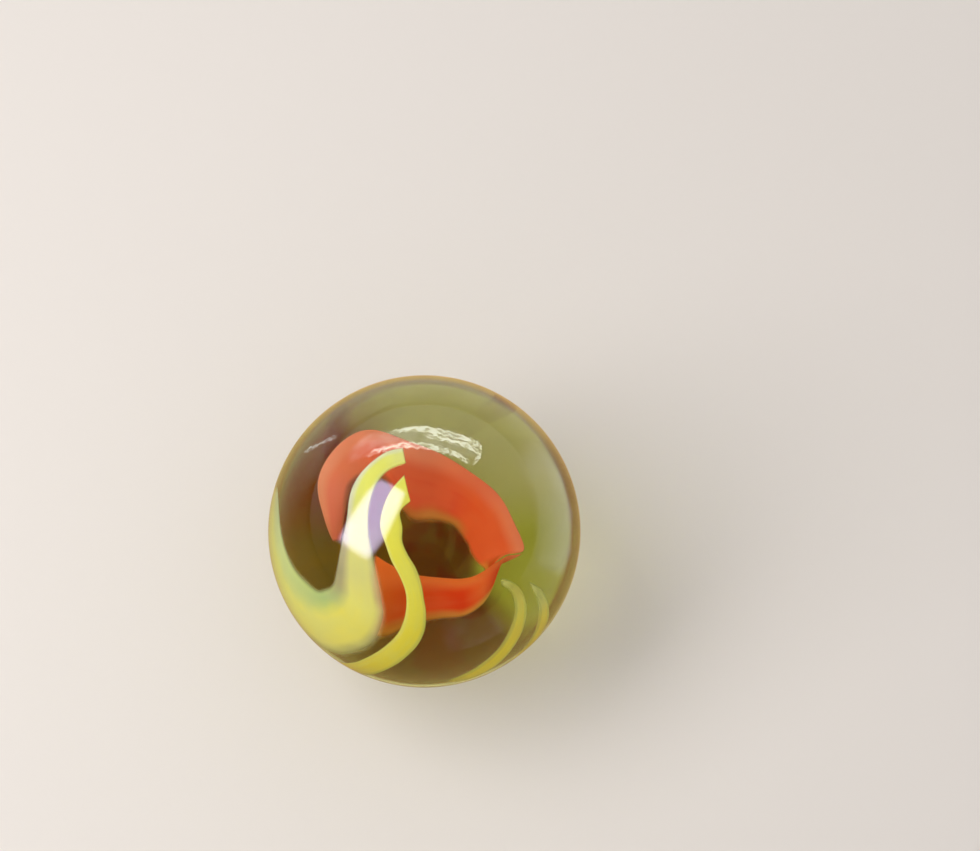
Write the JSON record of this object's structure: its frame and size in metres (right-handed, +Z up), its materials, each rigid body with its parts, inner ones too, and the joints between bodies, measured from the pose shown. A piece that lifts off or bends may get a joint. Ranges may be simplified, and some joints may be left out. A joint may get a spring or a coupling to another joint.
{
  "type": "glass marble",
  "caption": "Polished ball of clear olive glass with a folded red ribbon and curling yellow ribbons of coloured glass set inside it.",
  "frame": {"origin": "centre of the ball", "axes": "+Z up, with the patterned face leaning back 15 degrees from straight up, towards -Y"},
  "size_m": [0.03, 0.03, 0.03],
  "materials": {
    "clear_glass": "polished",
    "red_glass": "gloss",
    "yellow_glass": "gloss",
    "dull_yellow_glass": "gloss"
  },
  "bodies": {
    "root": {"clear_glass": "clear_glass", "red_ribbon": "red_glass", "wide_yellow_ribbon": "yellow_glass", "narrow_yellow_ribbon": "yellow_glass", "inner_yellow_thread": "dull_yellow_glass", "outer_yellow_thread": "dull_yellow_glass"}
  },
  "joints": []
}
